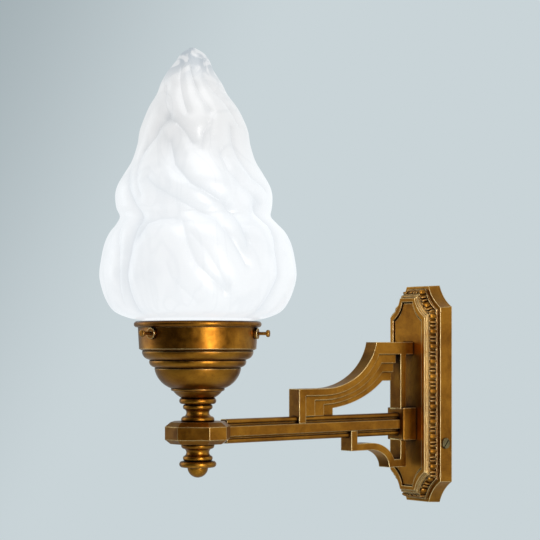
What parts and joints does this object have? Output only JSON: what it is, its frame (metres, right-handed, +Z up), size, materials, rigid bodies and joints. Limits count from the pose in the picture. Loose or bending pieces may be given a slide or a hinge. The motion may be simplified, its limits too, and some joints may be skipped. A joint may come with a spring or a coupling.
{
  "type": "torch sconce",
  "caption": "Torch wall light: cast brass wall plate, bracketed straight arm, octagonal hub, stepped gallery and a glowing flame-shaped glass shade.",
  "frame": {"origin": "centre of the wall fixing, on the wall plane", "axes": "+Z up, -Y out from the wall along the arm, +X to the right seen from the front"},
  "size_m": [0.1431, 0.3106, 0.3463],
  "materials": {
    "aged_brass": "satin",
    "steel": "satin",
    "contact_brass": "satin",
    "flame_glass": "satin",
    "bulb_glass": "clear",
    "bulb_metal": "satin",
    "porcelain": "gloss",
    "insulator_black": "gloss",
    "terminal_plastic": "matte",
    "grommet_rubber": "matte",
    "wire_brown": "satin",
    "wire_blue": "satin",
    "filament_metal": "satin"
  },
  "bodies": {
    "fixture": {"backplate": "aged_brass", "wall_strap": "steel", "cable_grommet": "grommet_rubber", "earth_stud": "contact_brass", "earth_nut": "contact_brass", "earth_washer": "steel", "side_screws": "steel", "terminal_block": "terminal_plastic", "terminal_screws": "steel", "live_wire": "wire_brown", "neutral_wire": "wire_blue", "boss": "aged_brass", "boss_screws": "steel", "bar_screw": "steel", "screw_washers": "steel", "arm_bar": "aged_brass", "upper_bracket": "aged_brass", "lower_bracket": "aged_brass", "hub_block": "aged_brass", "upper_collar": "aged_brass", "lower_collar": "aged_brass", "ball_finial": "aged_brass", "upper_nipple": "steel", "lower_nipple": "steel", "gallery_cup": "aged_brass", "screw_bushes": "aged_brass", "lock_nut": "contact_brass", "lampholder_cap": "contact_brass", "lampholder_shell": "contact_brass", "lampholder_core": "porcelain", "thread_sleeve": "contact_brass", "centre_contact": "contact_brass"},
    "thumb_screw_1": {"thumb_screw_1": "aged_brass"},
    "thumb_screw_2": {"thumb_screw_2": "aged_brass"},
    "thumb_screw_3": {"thumb_screw_3": "aged_brass"},
    "bulb": {"bulb_glass": "bulb_glass", "bulb_cap": "bulb_metal", "bulb_insulator": "insulator_black", "bulb_contact": "contact_brass", "bulb_stem": "bulb_glass", "bulb_filament": "filament_metal"},
    "shade": {"flame_shade": "flame_glass", "shade_neck": "flame_glass"}
  },
  "joints": [
    {"name": "thumb_screw_1_out", "type": "slide", "parent": "fixture", "child": "thumb_screw_1", "axis": [0.8192, 0.5736, 0], "range_m": [0, 0.004]},
    {"name": "thumb_screw_2_out", "type": "slide", "parent": "fixture", "child": "thumb_screw_2", "axis": [-0.9063, 0.4226, 0], "range_m": [0, 0.004]},
    {"name": "thumb_screw_3_out", "type": "slide", "parent": "fixture", "child": "thumb_screw_3", "axis": [0.0872, -0.9962, 0], "range_m": [0, 0.004]},
    {"name": "bulb_out", "type": "slide", "parent": "fixture", "child": "bulb", "axis": [0, 0, 1], "range_m": [0, 0.024]},
    {"name": "shade_lift", "type": "slide", "parent": "fixture", "child": "shade", "axis": [0, 0, 1], "range_m": [0, 0.04]}
  ]
}
